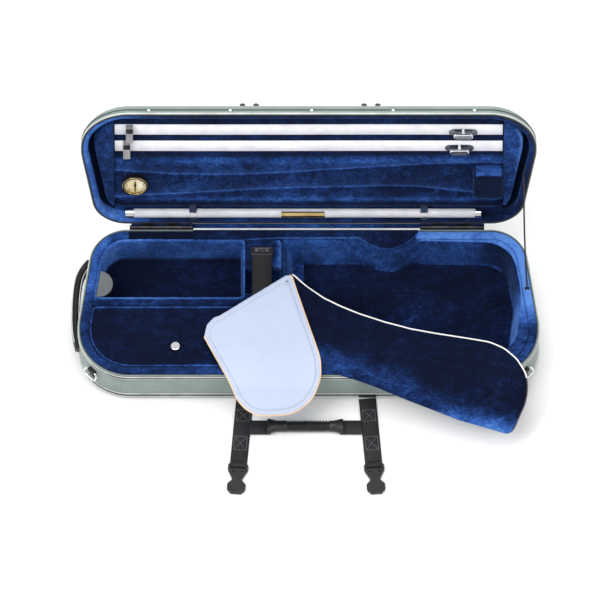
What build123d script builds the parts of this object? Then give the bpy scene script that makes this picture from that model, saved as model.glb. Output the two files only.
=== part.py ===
from build123d import *
import os
from math import atan2, degrees, pi, radians, sqrt, tan

# An oblong violin case, open, standing on its base. Millimetres.
# +X to the right along the case, +Y towards the hinge, +Z up.
# The origin is the middle of the base's bottom face.

# ---------------------------------------------------------------- driving dimensions
CASE_LENGTH = 800.0
CASE_DEPTH = 285.0
BASE_HEIGHT = 88.0
LID_HEIGHT = 41.0
LID_OPEN = 106.0            # degrees between the closed lid and the rest pose

BACK_TAPER = 28.0           # each end is this much shorter at the hinge
FRONT_TAPER = 2.0
WIDEST_Y = -40.0
FRONT_CORNER_R = 88.0
SIDE_R = 100.0
BACK_CORNER_R = 65.0

SHELL_WALL = 8.0            # foam core and canvas of the base
RIM_WIDTH = 17.0            # shell and velvet together, at the base's rim
RIM_THICK = 4.0
BOTTOM_COVER = 1.5
COVER_HEIGHT = 17.0
BOTTOM_R = 8.0
FLOOR_Z = 18.0              # floor of the compartments

LID_INSET = 5.0             # the lid's outline is this much inside the base's
LID_WALL = 5.0
LID_LINER = 3.0
LID_EDGE_R = 28.0
RIM_GAP = 1.5               # between the two rims when the case is shut
FIT = 0.3                   # clearance between neighbouring pieces

HINGE_OUT = 4.0             # the hinge axis stands this far behind the base
KNUCKLE_R = 3.5
PIN_R = 1.5
HINGE_LENGTH = 109.0
HINGE_X = (-312.0, 195.0)   # left end of each hinge

CRADLE_X = (-111.0, -46.0)
DIVIDER_Y = (-4.0, 9.7)
POCKET_FLOOR_Z = 24.0
POCKET_TOP_Z = 85.3
NOTCH_Y = (20.0, 70.0)      # the violin's neck lies across the cradle here

STRAP_X = (-111.0, 102.0)   # where the carrying straps leave the case
STRAP_SPLAY = 11.0
STRAP_WIDTH = 30.0
STRAP_THICK = 2.4
STRAP_LENGTH = 128.0
GRIP_REACH = 59.0           # grip's centre, in front of the case
GRIP_R = 10.8
SOCKET_X = (-103.0, 108.0)

KNOB_PLACE = (-231.6, -86.6)
TUBE_X = (-311.0, 290.0)
HYGROMETER_X = -302.0
STUD_PITCH = 141.0          # five studs along the lid's front edge
STUD_MIDDLE = 5.0

# ---------------------------------------------------------------- derived places
HALF_LENGTH = CASE_LENGTH / 2
HALF_DEPTH = CASE_DEPTH / 2
HINGE_Y = HALF_DEPTH + HINGE_OUT
LID_RIM_Z = BASE_HEIGHT + RIM_GAP
HINGE_Z = BASE_HEIGHT + RIM_GAP / 2
LID_TOP_Z = LID_RIM_Z + LID_HEIGHT
LID_ROOF_Z = LID_TOP_Z - LID_WALL
LID_FRONT_Y = -(HALF_DEPTH - LID_INSET)
PANEL_Z = HINGE_Z + 22.0    # visible face of the lid's padded panel, lid shut
INNER_Y = HALF_DEPTH - RIM_WIDTH
CUT = 500.0                 # half size of a box that is larger than the case

os.makedirs("parts", exist_ok=True)


# ---------------------------------------------------------------- helpers
def save(name, *solids):
    """Writes one sub-part."""
    shape = solids[0] if len(solids) == 1 else Compound(children=list(solids))
    export_step(shape, f"parts/{name}.step")


def block(x, y, z):
    """A box between two limits on each axis."""
    size = (x[1] - x[0], y[1] - y[0], z[1] - z[0])
    centre = ((x[0] + x[1]) / 2, (y[0] + y[1]) / 2, (z[0] + z[1]) / 2)
    return Pos(*centre) * Box(*size)


def case_plan(inset=0.0):
    """The outline of the case, pulled in by inset."""
    right = [
        (HALF_LENGTH - FRONT_TAPER, -HALF_DEPTH),
        (HALF_LENGTH, WIDEST_Y),
        (HALF_LENGTH - BACK_TAPER, HALF_DEPTH),
    ]
    corners = right + [(-x, y) for x, y in reversed(right)]
    radii = [FRONT_CORNER_R, SIDE_R, BACK_CORNER_R]
    outline = FilletPolyline(*corners, radius=radii + radii[::-1], close=True)
    face = make_face(outline)
    return offset(face, amount=-inset) if inset else face


def slab(inset, low, high):
    return Pos(0, 0, low) * extrude(case_plan(inset), high - low)


def ring(outside, inside, low, high):
    return slab(outside, low, high) - slab(inside, low - 1, high + 1)


def soften(part, radius, axis=Axis.Z, ends=(0, -1)):
    """Rounds the edges at the low and high ends of an axis."""
    for end in ends:
        part = fillet(part.edges().group_by(axis)[end], radius)
    return part


def opened(part):
    """Turns a piece of the lid from the shut position to the rest pose."""
    return part.rotate(Axis((0, HINGE_Y, HINGE_Z), (-1, 0, 0)), LID_OPEN)


def save_lid(name, *solids):
    save(name, *[opened(s) for s in solids])


def from_hinge(distance):
    """Y, with the lid shut, of a place that far from the hinge along the lid."""
    return HINGE_Y - distance


def hinge_rooms():
    """The room that the hinges take behind both rims."""
    y = (HALF_DEPTH - LID_INSET - 1, HINGE_Y + 9)
    return [block((x - FIT, x + HINGE_LENGTH + FIT), y, (60, 110)) for x in HINGE_X]


# ---------------------------------------------------------------- base shell and rim
def base_shell():
    cover = soften(slab(0, 0, COVER_HEIGHT), BOTTOM_R, ends=(0,))
    gap = BOTTOM_COVER + 0.2
    core = soften(slab(gap, gap, COVER_HEIGHT), BOTTOM_R - gap, ends=(0,))
    hollow = soften(slab(BOTTOM_COVER, BOTTOM_COVER, COVER_HEIGHT + 1), BOTTOM_R - BOTTOM_COVER,
                    ends=(0,))
    save("base_bottom_cover", cover - hollow)
    wall_top = BASE_HEIGHT - RIM_THICK
    shell = core + slab(0, COVER_HEIGHT, wall_top)
    shell -= slab(SHELL_WALL, FLOOR_Z - 4, wall_top + 1)
    save("base_shell", shell)


def base_rim():
    low = FLOOR_Z - 4 + FIT
    top = ring(1, RIM_WIDTH, BASE_HEIGHT - RIM_THICK, BASE_HEIGHT)
    lining = ring(SHELL_WALL + FIT, RIM_WIDTH, low, BASE_HEIGHT - RIM_THICK)
    liner = top + lining
    save("base_rim_liner", soften(liner, 1.8, ends=(-1,)))
    save("base_piping", ring(-1.8, 0, 80, 83) - hinge_rooms())
    save("base_binding", ring(-1.2, 0, 75, 79.5) - hinge_rooms())


# ---------------------------------------------------------------- inside of the base
def compartments():
    back = DIVIDER_Y[1] + FIT
    front = DIVIDER_Y[0] - FIT
    right = CRADLE_X[0] - FIT
    low, top = FLOOR_Z - 4 + FIT, 84.0
    everything = slab(RIM_WIDTH + FIT, low, top)
    rear = everything & block((-CUT, right), (back, CUT), (0, CUT))
    room = block((-CUT, right - 3), (back + 3, CUT), (0, CUT))
    rear -= slab(RIM_WIDTH + 4, FLOOR_Z, top + 1) & room
    notch = block((right - 4, right + 1), (NOTCH_Y[0] - 1, NOTCH_Y[1] + 1), (50, 90))
    save("rear_tray", rear - notch)

    lid_right = right - 15
    room = block((-CUT, lid_right - 4), (-CUT, front - 3), (0, CUT))
    cell = slab(RIM_WIDTH + 4, FLOOR_Z, top + 1) & room
    seat = slab(0, 77.7, top + 1) & block((-CUT, lid_right + FIT), (-CUT, CUT), (0, CUT))
    tray = (everything & block((-CUT, right), (-CUT, front), (0, CUT))) - cell - seat
    save("front_tray", tray)
    panel = slab(RIM_WIDTH + 1, 78, 85) & block((-CUT, lid_right), (-CUT, front - 1), (0, CUT))
    save("compartment_lid", soften(panel, 1.5, ends=(-1,)))
    stem = Pos(*KNOB_PLACE, 86) * Cylinder(3, 2)
    cap = Pos(*KNOB_PLACE, 89.5) * Cylinder(8.2, 5)
    save("lid_knob", soften(cap, 1.6, ends=(-1,)) + stem)

    bar = block((-CUT, right), DIVIDER_Y, (low, 87)) & slab(RIM_WIDTH + FIT, low, 87)
    save("divider", soften(bar, 2.5, ends=(-1,)))

    slant = degrees(atan2(BACK_TAPER, HALF_DEPTH - WIDEST_Y))
    wall_y = 39.5
    wall_x = -(HALF_LENGTH - BACK_TAPER * (wall_y - WIDEST_Y) / (HALF_DEPTH - WIDEST_Y))
    disc = Cylinder(25, 3) & block((0, 26), (-26, 26), (-2, 2))
    save("end_tab", Pos(wall_x + RIM_WIDTH + 4.8, wall_y, 80) * Rot(0, 0, -slant) * disc)


def cradle():
    y = INNER_Y - FIT
    body = block(CRADLE_X, (-y, y), (FLOOR_Z - 4 + FIT, 86))
    right_top = body.edges().group_by(Axis.Z)[-1].sort_by(Axis.X)[-1]
    body = fillet(right_top, 12)
    notch = block((CRADLE_X[0] - 1, CRADLE_X[1] + 1), NOTCH_Y, (48, 90))
    notch = fillet(notch.edges().filter_by(Axis.X).group_by(Axis.Z)[0], 18)
    save("neck_cradle", body - notch)
    plate = block((-101, -62), (93.5, 109.5), (86, 87.4))
    rivets = [Pos(x, 101.5, 88) * Cylinder(2.4, 1.2) for x in (-91, -72)]
    save("cradle_plate", plate)
    save("cradle_rivets", *rivets)
    strap = block((-98.6, -64.4), (-9, 93), (86.4, 88.8))
    save("neck_strap", soften(strap, 0.8, ends=(0, -1)))


POCKET_OUTLINE = [
    ((-38, 120), 12), ((92, 121), 60), ((139, 104), 50), ((190, 121), 60), ((352, 118), 58),
    ((370, 20), 200), ((358, -104), 60), ((196, -104), 50), ((148, -44), 40), ((96, -56), 40),
    ((-38, -56), 20),
]


def pocket():
    """The foam block that takes the violin's body, and the pad under its upper bout."""
    left = CRADLE_X[1] + FIT
    room = block((left, CUT), (-CUT, CUT), (0, CUT))
    body = slab(RIM_WIDTH + FIT, FLOOR_Z - 4 + FIT, POCKET_TOP_Z) & room
    points = [p for p, _ in POCKET_OUTLINE]
    radii = [r for _, r in POCKET_OUTLINE]
    outline = make_face(FilletPolyline(*points, radius=radii, close=True))
    cut = Pos(0, 0, POCKET_FLOOR_Z) * extrude(outline, CUT, dir=(0, 0, 1))
    neck_way = block((left - 1, -30), NOTCH_Y, (48, CUT))
    save("pocket_block", body - cut - neck_way)
    pad = block((-37, -8), (-40, 108), (POCKET_FLOOR_Z, POCKET_FLOOR_Z + 14))
    save("bout_pad", soften(pad, 5, ends=(-1,)))


# ---------------------------------------------------------------- hinges
def hinges():
    """Two strap hinges: leaves on the backs of base and lid, on one pin each."""
    count = 5
    base_leaves, lid_leaves, pins = [], [], []
    for x0 in HINGE_X:
        step = HINGE_LENGTH / count
        leaf = block((x0, x0 + HINGE_LENGTH), (HALF_DEPTH + 0.1, HALF_DEPTH + 1.6), (64, 84))
        back = HALF_DEPTH - LID_INSET + 0.1
        other = block((x0, x0 + HINGE_LENGTH), (back, back + 1.5), (LID_RIM_Z + 1, LID_RIM_Z + 11))
        for i in range(count):
            a, b = x0 + i * step + FIT / 2, x0 + (i + 1) * step - FIT / 2
            centre = ((a + b) / 2, HINGE_Y, HINGE_Z)
            barrel = Pos(*centre) * (Rot(0, 90, 0) * Cylinder(KNUCKLE_R, b - a))
            if i % 2 == 0:
                leaf += barrel
                leaf += block((a, b), (HALF_DEPTH + 0.1, HALF_DEPTH + 1.6), (80, HINGE_Z))
            else:
                other += barrel
                arm = (back, HINGE_Y - KNUCKLE_R + 1)
                other += block((a, b), arm, (LID_RIM_Z + 1, LID_RIM_Z + 2.2))
        mid = (x0 + HINGE_LENGTH / 2, HINGE_Y, HINGE_Z)
        bore = Pos(*mid) * (Rot(0, 90, 0) * Cylinder(PIN_R + 0.05, HINGE_LENGTH + 2))
        base_leaves.append(leaf - bore)
        lid_leaves.append(other - bore)
        pins.append(Pos(*mid) * (Rot(0, 90, 0) * Cylinder(PIN_R, HINGE_LENGTH)))
    save("hinge_base_leaves", *base_leaves)
    save_lid("hinge_lid_leaves", *lid_leaves)
    save("hinge_pins", *pins)
    strip = block((HINGE_X[0] + HINGE_LENGTH + 2, HINGE_X[1] - 1),
                  (HALF_DEPTH - 0.8, HALF_DEPTH + 2.4), (84.2, 89.2))
    save("hinge_strip", fillet(strip.edges().filter_by(Axis.X).group_by(Axis.Z)[-1], 1.2))


# ---------------------------------------------------------------- lid
def lid_shell():
    outer = slab(LID_INSET, LID_RIM_Z, LID_TOP_Z)
    outer = fillet(outer.edges().group_by(Axis.Z)[-1], LID_EDGE_R)
    inner = slab(LID_INSET + LID_WALL, LID_RIM_Z - 1, LID_ROOF_Z)
    inner = fillet(inner.edges().group_by(Axis.Z)[-1], LID_EDGE_R - LID_WALL)
    save_lid("lid_shell", outer - inner)
    piping = ring(LID_INSET - 1.2, LID_INSET, LID_RIM_Z + 0.5, LID_RIM_Z + 3)
    save_lid("lid_piping", piping - hinge_rooms())
    save_lid("lid_seal", ring(LID_INSET + 0.6, LID_INSET + 3.4, LID_RIM_Z - 0.8, LID_RIM_Z))
    wall = LID_INSET + LID_WALL + FIT
    save_lid("lid_rim_liner", ring(wall, wall + LID_LINER, LID_RIM_Z, LID_RIM_Z + 16))


def lid_padding():
    """The padded panel of the lid, between two thicker end pads."""
    inset = LID_INSET + LID_WALL + LID_LINER + 2 * FIT
    room = slab(inset, LID_RIM_Z, LID_ROOF_Z - FIT)
    room = fillet(room.edges().group_by(Axis.Z)[-1], LID_EDGE_R - LID_WALL - LID_LINER)
    roof = room & block((-CUT, CUT), (-CUT, CUT), (PANEL_Z, CUT))
    save_lid("lid_panel", roof & block((-338, 338), (-CUT, CUT), (0, CUT)))
    backing = roof + slab(inset + 14, PANEL_Z - 10, PANEL_Z + 2)
    pads = [backing & block(x, (-CUT, CUT), (0, CUT)) for x in ((-CUT, -343), (343, CUT))]
    save_lid("lid_end_pads", *pads)


def bow_bay():
    """Guards, tip loops and turning catches for two bows."""
    guards = []
    for near, far in ((212.6, 238.0), (171.5, 197.0)):
        y = (from_hinge(far), from_hinge(near))
        guards.append(block((-337, 337), y, (PANEL_Z - 1.8, PANEL_Z - 0.1)))
    save_lid("bow_guards", *guards)

    loops = []
    for x, near, far in ((-317, 204, 238), (-322, 164, 198)):
        y = (from_hinge(far), from_hinge(near))
        z = (PANEL_Z - 14, PANEL_Z - 2.1)
        loop = block((x, x + 12), y, z)
        loops.append(loop - block((x - 1, x + 13), (y[0] + 1.5, y[1] - 1.5), (z[0] + 1.5, z[1] - 1.2)))
    save_lid("bow_tip_loops", *loops)

    plates = []
    for name, x, distance in (("upper", 268, 221), ("lower", 261.6, 181.4)):
        at = Pos(x, from_hinge(distance), 0)
        slot = extrude(SlotOverall(50, 16), 2)
        bore = Cylinder(2.56, 10)
        plates.append(at * Pos(0, 0, PANEL_Z - 4.1) * (slot - bore))
        wing = soften(extrude(SlotOverall(34, 12), 4.5), 1.2)
        stem = Pos(0, 0, 8.5) * Cylinder(2.5, 12)
        save_lid(f"bow_catch_{name}", at * Pos(0, 0, PANEL_Z - 17) * (wing + stem))
    save_lid("bow_catch_plates", *plates)


def lid_fittings():
    pillow = block((285, 344), (from_hinge(137), from_hinge(74)), (HINGE_Z - 5.5, PANEL_Z - FIT))
    pillow &= block((285, 341), (-CUT, CUT), (0, CUT))
    save_lid("pillow_box", soften(fillet(pillow.edges().filter_by(Axis.Z), 7), 4, ends=(0,)))

    at = Pos(HYGROMETER_X, from_hinge(93), 0)
    case = at * Pos(0, 0, PANEL_Z - 6) * (Cylinder(21.8, 11.6) - Pos(0, 0, -4) * Cylinder(20.2, 8))
    save_lid("hygrometer_case", case)
    front = PANEL_Z - 11.8
    bezel = at * Pos(0, 0, front - 0.8) * (Cylinder(22.4, 1.6) - Cylinder(18.8, 3))
    save_lid("hygrometer_bezel", soften(bezel, 0.5, ends=(0,)))
    save_lid("hygrometer_dial", at * Pos(0, 0, front + 4) * Cylinder(20.0, 1))
    needle = block((-1, 1), (-9, 15), (0, 0.8)) + Pos(0, 0, 0.9) * Cylinder(1.8, 2.6)
    save_lid("hygrometer_needle", at * Pos(0, 0, front + 1.2) * needle)
    save_lid("hygrometer_glass", at * Pos(0, 0, front - 0.2) * Cylinder(18.6, 1.0))

    stud = Rot(90, 0, 0) * Cylinder(2.2, 1.2)
    studs = [Pos(STUD_MIDDLE + STUD_PITCH * k, LID_FRONT_Y - 0.6, LID_RIM_Z + 9) * stud
             for k in range(-2, 3)]
    save_lid("lid_studs", *studs)


TUBE_Y = from_hinge(28)
TUBE_Z = HINGE_Z + 7.5
TUBE_R = 8.0


def string_tube():
    """A clear tube for spare strings, in two clips by the hinge."""
    def along_x(x, radius):
        return Pos((x[0] + x[1]) / 2, TUBE_Y, TUBE_Z) * (Rot(0, 90, 0) * Cylinder(radius, x[1] - x[0]))

    left, right = TUBE_X
    tube = along_x(TUBE_X, TUBE_R) - along_x((-400, 400), TUBE_R - 1.2)
    save_lid("string_tube", tube)
    plug = along_x((right + 0.2, right + 10), TUBE_R + 0.6)
    save_lid("tube_plug", plug + along_x((right - 10, right + 1), TUBE_R - 1.6))
    cap = along_x((left - 8, left + 6), TUBE_R + 1.2)
    save_lid("tube_cap", cap - along_x((left - 5, left + 11), TUBE_R + 0.1))
    clips = []
    for x in ((-208, -195), (194.5, 207.5)):
        outer = block(x, (TUBE_Y - TUBE_R - 1.6, TUBE_Y + TUBE_R + 1.6), (TUBE_Z - 7, PANEL_Z - 0.1))
        way = block((x[0] - 1, x[1] + 1), (TUBE_Y - TUBE_R - FIT, TUBE_Y + TUBE_R + FIT),
                    (0, TUBE_Z + TUBE_R + FIT))
        clips.append(outer - way)
    save_lid("tube_clips", *clips)


def buckle_sockets():
    sockets = []
    for x in SOCKET_X:
        y = (from_hinge(256), from_hinge(208))
        body = block((x - 19, x + 19), y, (LID_TOP_Z + 0.1, LID_TOP_Z + 10))
        mouth = block((x - 16.5, x + 16.5), (y[0] - 1, y[0] + 30), (LID_TOP_Z + 2, LID_TOP_Z + 8))
        sockets.append(fillet(body.edges().filter_by(Axis.Z), 4) - mouth)
    save_lid("buckle_sockets", *sockets)


# ---------------------------------------------------------------- straps and handles
FRONT_Y = -HALF_DEPTH
STRAP_Z = 1.4
STRAP_ROOT_Y = FRONT_Y - 2.2


def strap_frame(side):
    """Places a strap's own frame: origin at its root, -Y along the strap."""
    lean = degrees(atan2(STRAP_SPLAY, STRAP_LENGTH))
    return Pos(STRAP_X[0 if side < 0 else 1], STRAP_ROOT_Y, 0) * Rot(0, 0, side * lean)


def carrying_strap():
    half = STRAP_WIDTH / 2
    z = (STRAP_Z - STRAP_THICK / 2, STRAP_Z + STRAP_THICK / 2)
    webs, roots, tabs = [], [], []
    grip_y = FRONT_Y - GRIP_REACH
    for side in (-1, 1):
        web = block((-half, half), (-STRAP_LENGTH, 0), z)
        webs.append(strap_frame(side) * web)
        x = STRAP_X[0 if side < 0 else 1]
        roots.append(block((x - half, x + half), (FRONT_Y - 1.9, FRONT_Y - 0.1), (7, COVER_HEIGHT - 1)))
    save("carry_straps", *webs)
    save("strap_roots", *roots)
    for x in ((-104, -69), (57, 92)):
        tabs.append(block(x, (grip_y - 15, grip_y + 15), (STRAP_Z + 1.5, STRAP_Z + 3.9)))
    save("grip_tabs", *tabs)
    middle = -6.0
    body = Pos(middle, grip_y, GRIP_R - 1.5) * (Rot(0, 90, 0) * Cylinder(GRIP_R, 132))
    body = fillet(body.edges(), 4) - block((-CUT, CUT), (-CUT, CUT), (-CUT, 0.6))
    for x in ((-73, -67), (55, 61)):
        body -= block(x, (grip_y - 16, grip_y + 16), (STRAP_Z + 1.2, STRAP_Z + 4.2))
    save("carry_grip", body)


PLUG_SIDE = [((17.5, -0.6), 3), ((17.5, -12), 5), ((7.5, -31), 5), ((16, -39), 4), ((16, -50), 5),
             ((9, -57.4), 3)]


def buckle_plugs():
    """The plug half of a side-release buckle at the end of each strap."""
    corners = [p for p, _ in PLUG_SIDE] + [(-x, y) for (x, y), _ in reversed(PLUG_SIDE)]
    radii = [r for _, r in PLUG_SIDE]
    outline = make_face(FilletPolyline(*corners, radius=radii + radii[::-1], close=True))
    window = block((-13, 13), (-9.5, -4.5), (-1, 10))
    holes = [Pos(x, -15, 3) * Cylinder(1.6, 10) for x in (-8, 8)]
    body = Pos(0, 0, 0.4) * extrude(outline, 5.6, dir=(0, 0, 1)) - window - holes
    for side, name in ((-1, "left"), (1, "right")):
        save(f"buckle_plug_{name}", strap_frame(side) * Pos(0, -STRAP_LENGTH, 0) * body)


def side_handle():
    """A padded handle on the left end, standing out in the middle."""
    wall = [(-382.6, 96), (-400.6, -72)]
    outer = [wall[0], (-404, 76), (-413.5, 0), (-413, -48), wall[1]]
    inner = [(-392.2, -50), (-404, -46), (-405, 0), (-396, 68), (-387, 74)]
    face = make_face(FilletPolyline(*outer[:1], *outer[1:-1], *outer[-1:], *inner,
                                    radius=[2, 16, 60, 20, 2, 3, 14, 50, 12, 3], close=True))
    grip = Pos(0, 0, 38) * extrude(face, 24, dir=(0, 0, 1))
    save("side_handle", grip - slab(-0.2, 30, 70))


def ring_places():
    """Where the shoulder strap's rings hang, on the two front corners."""
    reach = FRONT_CORNER_R * (1 - 1 / sqrt(2))
    x = HALF_LENGTH - FRONT_TAPER + 2.1 - reach
    y = -HALF_DEPTH + reach
    return {"left": Pos(-x, y, 60) * Rot(0, 0, -45), "right": Pos(x, y, 60) * Rot(0, 0, 45)}


def shoulder_rings():
    """In each ring's frame, -Y points away from the case and X runs along its wall."""
    tabs = []
    for name, place in ring_places().items():
        loop = block((-7, 7), (-6.5, 0), (-4, 4)) + block((-7, 7), (-2.2, 0), (-24, -3))
        loop -= Pos(0, -4, 0) * (Rot(0, 90, 0) * Cylinder(1.65, 30))
        tabs.append(place * Pos(0, -0.2, 0) * loop)
        corners = [(-13, 0), (-13, -15), (13, -15), (13, 0)]
        path = FilletPolyline(*corners, radius=5, close=True)
        plane = Plane(origin=path @ 0.5, z_dir=path % 0.5)
        wire = sweep(plane * Circle(1.6), path=path)
        lean = Rot(68, 0, 0)
        save(f"d_ring_{name}", place * Pos(0, -4.2, 0) * lean * wire)
    save("d_ring_tabs", *tabs)


# ---------------------------------------------------------------- soft pieces
BLANKET_Z = 89.4
BLANKET_THICK = 5.0
BLANKET_SLOPE = 0.42
VELVET_SIDE = [
    ((-29, 54), 6), ((42, -4), 90), ((180, -56), 300), ((345, -84), 75), ((385, -175), 80),
    ((352, -241), 16), ((262, -217), 100), ((20, -131), 60), ((-140, -45), 20),
]
SATIN_SIDE = [
    ((-31, 54), 5), ((20, -110), 120), ((24, -208), 72), ((-110, -215), 60), ((-182, -72), 12),
    ((-163, -36), 16),
]


def blanket():
    """A padded blanket: its neck end is folded back over it, and its edge hangs over the rim."""
    layers = []
    for outline, low in ((VELVET_SIDE, BLANKET_Z), (SATIN_SIDE, BLANKET_Z + BLANKET_THICK + FIT)):
        points = [p for p, _ in outline]
        face = make_face(FilletPolyline(*points, radius=[r for _, r in outline], close=True))
        column = extrude(face, CUT, both=True)
        edge, drop = -150.0, BLANKET_SLOPE * 150
        side = Polyline(
            (120, low), (120, low + BLANKET_THICK), (edge, low + BLANKET_THICK),
            (edge - 150, low + BLANKET_THICK - drop), (edge - 150, low - drop), (edge, low), close=True)
        profile = Plane.YZ * make_face(side)
        layers.append(column & extrude(profile, CUT, both=True))
    save("blanket", *layers)


STAY_DIAMETER = 3.0
# From the raised lid's end to the base's rim. Its start suits a lid that is LID_OPEN = 106.
STAY_ROUTE = [(374.0, 191.0, 215.6), (373.5, 100.0, 143.0), (380.0, 29.5, 90.9)]


def lid_stay():
    """The cord that stops the lid, drawn tight between the lid's end and the base's rim."""
    start, middle, end = [Vector(*p) for p in STAY_ROUTE]
    turn = degrees(radians((middle - start).get_angle(end - middle)))
    radius = 0.45 * min((middle - start).length, (end - middle).length) / tan(radians(turn / 2))
    print(f"lid_stay_cord: turn {turn:.1f} degrees, radius {radius:.0f} mm")
    path = FilletPolyline(start, middle, end, radius=radius)
    tube = sweep(Plane(origin=path @ 0, z_dir=path % 0) * Circle(STAY_DIAMETER / 2), path=path)
    print(f"volume {tube.volume:.0f}, section times length "
          f"{path.length * pi * (STAY_DIAMETER / 2) ** 2:.0f}")
    save("lid_stay_cord", tube)
    x, y, _ = STAY_ROUTE[-1]
    patch = block((x - 4.5, x + 4.5), (y - 4.7, y + 0.3), (BASE_HEIGHT + 0.05, BASE_HEIGHT + 0.55))
    save("stay_anchor_base", fillet(patch.edges().filter_by(Axis.Z), 1))


base_shell()
base_rim()
compartments()
cradle()
pocket()
hinges()
lid_shell()
lid_padding()
bow_bay()
lid_fittings()
string_tube()
buckle_sockets()
carrying_strap()
buckle_plugs()
side_handle()
shoulder_rings()
blanket()
lid_stay()
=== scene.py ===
from math import acos, atan2, cos, exp, pi, radians, sin, tan, tau

import bmesh
import bpy
import numpy as np
from mathutils import Matrix, Vector, noise
from numpy.linalg import norm


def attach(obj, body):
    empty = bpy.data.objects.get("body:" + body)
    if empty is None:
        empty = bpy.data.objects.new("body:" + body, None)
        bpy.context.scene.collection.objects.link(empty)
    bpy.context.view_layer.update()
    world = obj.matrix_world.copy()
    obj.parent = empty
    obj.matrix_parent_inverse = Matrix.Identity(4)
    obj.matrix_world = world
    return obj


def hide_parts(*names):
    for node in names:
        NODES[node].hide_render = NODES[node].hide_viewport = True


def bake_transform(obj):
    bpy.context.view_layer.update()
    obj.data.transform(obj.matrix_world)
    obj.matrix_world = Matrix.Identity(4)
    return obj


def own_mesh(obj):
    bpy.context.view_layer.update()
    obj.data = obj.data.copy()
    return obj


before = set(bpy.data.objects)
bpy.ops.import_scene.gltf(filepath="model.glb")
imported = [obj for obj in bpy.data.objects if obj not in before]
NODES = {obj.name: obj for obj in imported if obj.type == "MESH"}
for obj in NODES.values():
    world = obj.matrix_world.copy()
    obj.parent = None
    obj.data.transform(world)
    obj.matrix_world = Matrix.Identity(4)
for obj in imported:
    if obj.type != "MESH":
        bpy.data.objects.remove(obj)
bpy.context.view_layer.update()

# ---- places, in millimetres; those of the lid are as it lies when shut
MM = 0.001
HINGE_Y, HINGE_Z, LID_OPEN = 146.5, 88.75, 106.0
LID_TOP_Z = 130.5
PANEL_DEPTH = 22.0  # of the flat part of the lid's padded panel, from the hinge
PANEL_Z = HINGE_Z + PANEL_DEPTH
LINING_INSET, LINING_Z = 17.6, 14.4  # where the trays' outsides and undersides are
TRAY_FLOOR_Z, POCKET_FLOOR_Z = 18.5, 24.2
CASE_CORNERS = [(398, -142.5), (400, -40), (372, 142.5), (-372, 142.5), (-400, -40), (-398, -142.5)]
CASE_RADII = [88, 100, 65, 65, 100, 88]
POCKET = [(-38, 120), (92, 121), (139, 104), (190, 121), (352, 118), (370, 20), (358, -104),
          (196, -104), (148, -44), (96, -56), (-38, -56)]
POCKET_RADII = [12, 60, 50, 60, 58, 200, 60, 50, 40, 40, 20]
POCKET_TIGHTER = (0, 1, 3, 4, 6, 7, 9, 10)  # corners that tighten as it narrows
VELVET_SIDE = [(-29, 54), (-3, 28.2), (27, 5.5), (58, -11), (88, -24.5), (133, -41), (177, -54), (222, -63),
               (267, -71), (314, -79.5), (340, -92), (361, -112), (376, -138), (384, -175), (352, -241),
               (262, -217), (20, -131), (-140, -45)]
VELVET_RADII = [6, 60, 60, 60, 60, 90, 90, 90, 90, 60, 50, 50, 60, 80, 16, 100, 60, 20]
SATIN_SIDE = [(-31, 54), (-22, 22), (3, -58), (20, -112), (24, -208), (-110, -215), (-182, -72), (-177, -48),
              (-165, -34), (-156, -31)]
SATIN_RADII = [9, 60, 120, 100, 72, 60, 9, 10, 8, 8]
BLANKET_EDGE_Y, BLANKET_SLOPE = -150, 0.42
STRAP_ROOT_Y, STRAP_LENGTH, STRAP_WIDTH, GRIP_Y = -144.7, 128, 30, -201.5
TUBE_FROM_HINGE, TUBE_DEPTH = 28, 7.5
HYGROMETER_X, HYGROMETER_FROM_HINGE = -302, 93
LID_TURN = (Matrix.Translation((0, HINGE_Y, HINGE_Z)) @ Matrix.Rotation(radians(LID_OPEN), 4, (-1, 0, 0))
            @ Matrix.Translation((0, -HINGE_Y, -HINGE_Z)))


# ---- curves and outlines
def peak(distance, reach):
    """1 at no distance, and falling to nothing well beyond reach."""
    return exp(-(distance / reach) ** 2)


def step(value, low, high):
    """0 below low, 1 above high, and smooth between."""
    t = max(0.0, min(1.0, (value - low) / (high - low)))
    return t * t * (3 - 2 * t)


def rounded(corners, radii, spacing=2.5):
    """Points along a closed polygon with rounded corners."""
    points, n = [], len(corners)
    for i, radius in enumerate(radii):
        p, a, b = (np.array(corners[k % n], float) for k in (i, i - 1, i + 1))
        u, v = (a - p) / norm(a - p), (b - p) / norm(b - p)
        half = acos(np.clip(u @ v, -1, 1)) / 2
        centre = p + (u + v) / norm(u + v) * radius / sin(half)
        ends = [p + w * radius / tan(half) - centre for w in (u, v)]
        first, last = (atan2(e[1], e[0]) for e in ends)
        turn = (last - first + pi) % tau - pi
        count = max(3, int(abs(turn) * radius / spacing))
        points += [centre + radius * np.array((cos(t), sin(t)))
                   for t in np.linspace(first, first + turn, count)]
    return np.array(points)


def turning(points):
    """1 for an outline that runs anticlockwise, -1 for one that runs clockwise."""
    after = np.roll(points, -1, axis=0)
    return np.sign(np.sum(points[:, 0] * after[:, 1] - points[:, 1] * after[:, 0]))


def inset_corners(corners, distance):
    """The corners of a polygon whose sides are all moved in by distance."""
    points = np.array(corners, float)
    side = np.roll(points, -1, axis=0) - points
    side /= norm(side, axis=1)[:, None]
    normal = np.stack((-side[:, 1], side[:, 0]), 1) * turning(points)
    result = []
    for i, p in enumerate(points):
        a, b = normal[i - 1], normal[i]
        result.append(p + distance * (a + b) / (1 + a @ b))
    return result


def run(points):
    """The distance along a line at each of its points."""
    return np.concatenate(([0], np.cumsum(norm(np.diff(points, axis=0), axis=1))))


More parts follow.
